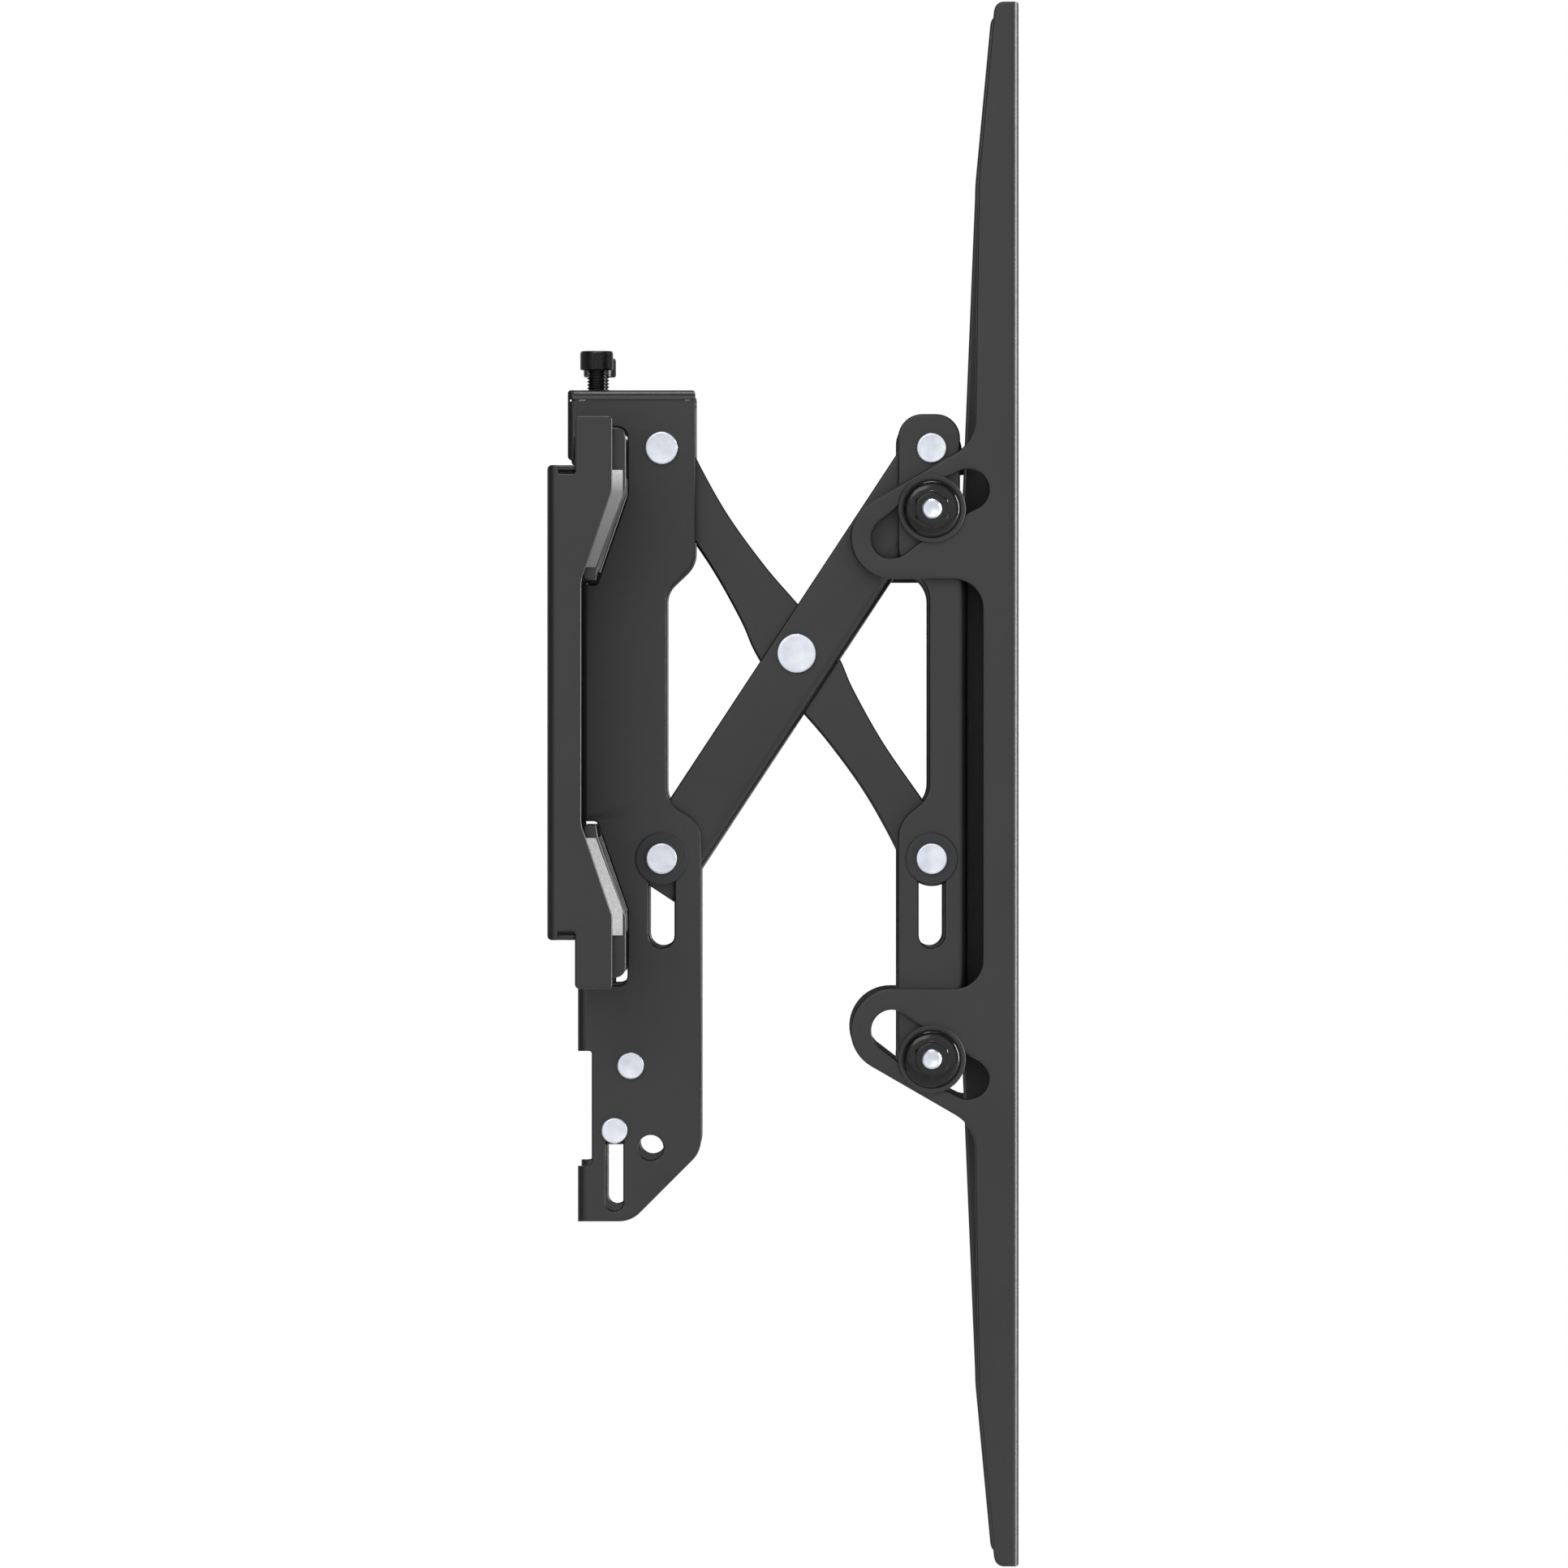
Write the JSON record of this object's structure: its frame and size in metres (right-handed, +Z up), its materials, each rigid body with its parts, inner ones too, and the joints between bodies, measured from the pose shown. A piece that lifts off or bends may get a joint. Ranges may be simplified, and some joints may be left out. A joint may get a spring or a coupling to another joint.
{
  "type": "pop-out television wall mount",
  "caption": "Low wall band carrying two scissor arms that pull a display straight out from the wall, tilt it and lift off it with sprung latches.",
  "frame": {"origin": "the centre of the wall band's back face, on the wall plane", "axes": "+X from the wall towards the display, +Y along the wall band, +Z up"},
  "size_m": [0.145, 0.56, 0.482],
  "materials": {
    "powder_coat": "fine textured black powder coat",
    "bright_zinc": "satin bright zinc plate",
    "black_oxide": "glossy black oxide",
    "black_zinc": "glossy black zinc plate",
    "nylon": "matt black moulded nylon",
    "spring_steel": "oiled spring wire"
  },
  "bodies": {
    "wall": {"wall_band": "powder_coat"},
    "left_foot": {"left_screw_foot": "nylon"},
    "left_screw": {"left_levelling_screw": "black_oxide"},
    "left_bracket": {"left_arm_bracket": "powder_coat", "left_screw_nut": "bright_zinc", "left_latch_rivet": "bright_zinc", "left_latch_spring": "spring_steel", "left_top_rivet": "bright_zinc"},
    "left_latch": {"left_latch_plate": "powder_coat", "left_latch_pin": "bright_zinc"},
    "left_curved_arm": {"left_curved_arm_outer": "powder_coat", "left_curved_arm_inner": "powder_coat", "left_centre_rivet": "bright_zinc", "left_centre_spacer": "bright_zinc", "left_front_slider_pin": "bright_zinc", "left_front_slider_washer_outer": "nylon", "left_front_slider_washer_inner": "nylon"},
    "left_straight_arm": {"left_straight_arm": "powder_coat", "left_wall_slider_pin": "bright_zinc", "left_wall_slider_washer_outer": "nylon", "left_wall_slider_washer_inner": "nylon"},
    "left_front_channel": {"left_front_channel": "powder_coat", "left_front_rivet": "bright_zinc", "left_tilt_stud_upper": "bright_zinc", "left_tilt_stud_lower": "bright_zinc", "left_tilt_bush_upper": "nylon", "left_tilt_bush_lower": "nylon", "left_tilt_nut_upper": "black_zinc", "left_tilt_nut_lower": "black_zinc"},
    "left_display_rail": {"left_display_rail": "powder_coat"},
    "right_foot": {"right_screw_foot": "nylon"},
    "right_screw": {"right_levelling_screw": "black_oxide"},
    "right_bracket": {"right_arm_bracket": "powder_coat", "right_screw_nut": "bright_zinc", "right_latch_rivet": "bright_zinc", "right_latch_spring": "spring_steel", "right_top_rivet": "bright_zinc"},
    "right_latch": {"right_latch_plate": "powder_coat", "right_latch_pin": "bright_zinc"},
    "right_curved_arm": {"right_curved_arm_outer": "powder_coat", "right_curved_arm_inner": "powder_coat", "right_centre_rivet": "bright_zinc", "right_centre_spacer": "bright_zinc", "right_front_slider_pin": "bright_zinc", "right_front_slider_washer_outer": "nylon", "right_front_slider_washer_inner": "nylon"},
    "right_straight_arm": {"right_straight_arm": "powder_coat", "right_wall_slider_pin": "bright_zinc", "right_wall_slider_washer_outer": "nylon", "right_wall_slider_washer_inner": "nylon"},
    "right_front_channel": {"right_front_channel": "powder_coat", "right_front_rivet": "bright_zinc", "right_tilt_stud_upper": "bright_zinc", "right_tilt_stud_lower": "bright_zinc", "right_tilt_bush_upper": "nylon", "right_tilt_bush_lower": "nylon", "right_tilt_nut_upper": "black_zinc", "right_tilt_nut_lower": "black_zinc"},
    "right_display_rail": {"right_display_rail": "powder_coat"}
  },
  "joints": [
    {"name": "left_arm_slide", "type": "slide", "parent": "wall", "child": "left_foot", "axis": [0, 1, 0], "range_m": [-0.05, 0.14]},
    {"name": "left_screw_turn", "type": "hinge", "parent": "left_foot", "child": "left_screw", "pos_m": [0.015, -0.2, 0.0766], "axis": [0, 0, 1], "range_deg": [-1440, 0]},
    {"name": "left_level", "type": "slide", "parent": "left_foot", "child": "left_bracket", "axis": [0, 0, 1], "range_m": [0, 0.004]},
    {"name": "left_latch_pull", "type": "slide", "parent": "left_bracket", "child": "left_latch", "axis": [0, 0, -1], "range_m": [0, 0.018], "stiffness_N_per_m": 400, "springref_m": -0.01},
    {"name": "left_pop_out", "type": "hinge", "parent": "left_bracket", "child": "left_curved_arm", "pos_m": [0.035, -0.2, 0.0785], "axis": [0, 1, 0], "range_deg": [0, 23]},
    {"name": "left_scissor_centre", "type": "hinge", "parent": "left_curved_arm", "child": "left_straight_arm", "pos_m": [0.07662, -0.2, 0.01525], "axis": [0, 1, 0], "range_deg": [-46, 0]},
    {"name": "left_front_pivot", "type": "hinge", "parent": "left_straight_arm", "child": "left_front_channel", "pos_m": [0.11825, -0.2, 0.0785], "axis": [0, 1, 0], "range_deg": [0, 23]},
    {"name": "left_tilt", "type": "hinge", "parent": "left_front_channel", "child": "left_display_rail", "pos_m": [0.17, -0.2, -0.025], "axis": [0, 1, 0], "range_deg": [-7, 7]},
    {"name": "right_arm_slide", "type": "slide", "parent": "wall", "child": "right_foot", "axis": [0, 1, 0], "range_m": [-0.14, 0.05]},
    {"name": "right_screw_turn", "type": "hinge", "parent": "right_foot", "child": "right_screw", "pos_m": [0.015, 0.2, 0.0766], "axis": [0, 0, 1], "range_deg": [-1440, 0]},
    {"name": "right_level", "type": "slide", "parent": "right_foot", "child": "right_bracket", "axis": [0, 0, 1], "range_m": [0, 0.004]},
    {"name": "right_latch_pull", "type": "slide", "parent": "right_bracket", "child": "right_latch", "axis": [0, 0, -1], "range_m": [0, 0.018], "stiffness_N_per_m": 400, "springref_m": -0.01},
    {"name": "right_pop_out", "type": "hinge", "parent": "right_bracket", "child": "right_curved_arm", "pos_m": [0.035, 0.2, 0.0785], "axis": [0, 1, 0], "range_deg": [0, 23]},
    {"name": "right_scissor_centre", "type": "hinge", "parent": "right_curved_arm", "child": "right_straight_arm", "pos_m": [0.07662, 0.2, 0.01525], "axis": [0, 1, 0], "range_deg": [-46, 0]},
    {"name": "right_front_pivot", "type": "hinge", "parent": "right_straight_arm", "child": "right_front_channel", "pos_m": [0.11825, 0.2, 0.0785], "axis": [0, 1, 0], "range_deg": [0, 23]},
    {"name": "right_tilt", "type": "hinge", "parent": "right_front_channel", "child": "right_display_rail", "pos_m": [0.17, 0.2, -0.025], "axis": [0, 1, 0], "range_deg": [-7, 7]}
  ],
  "couplings": [
    {"joint": "left_scissor_centre", "follows": "left_pop_out", "ratio": -2},
    {"joint": "left_front_pivot", "follows": "left_pop_out", "ratio": 1},
    {"joint": "left_screw_turn", "follows": "left_level", "rad_per_m": -6283.2},
    {"joint": "right_scissor_centre", "follows": "right_pop_out", "ratio": -2},
    {"joint": "right_front_pivot", "follows": "right_pop_out", "ratio": 1},
    {"joint": "right_screw_turn", "follows": "right_level", "rad_per_m": -6283.2}
  ]
}
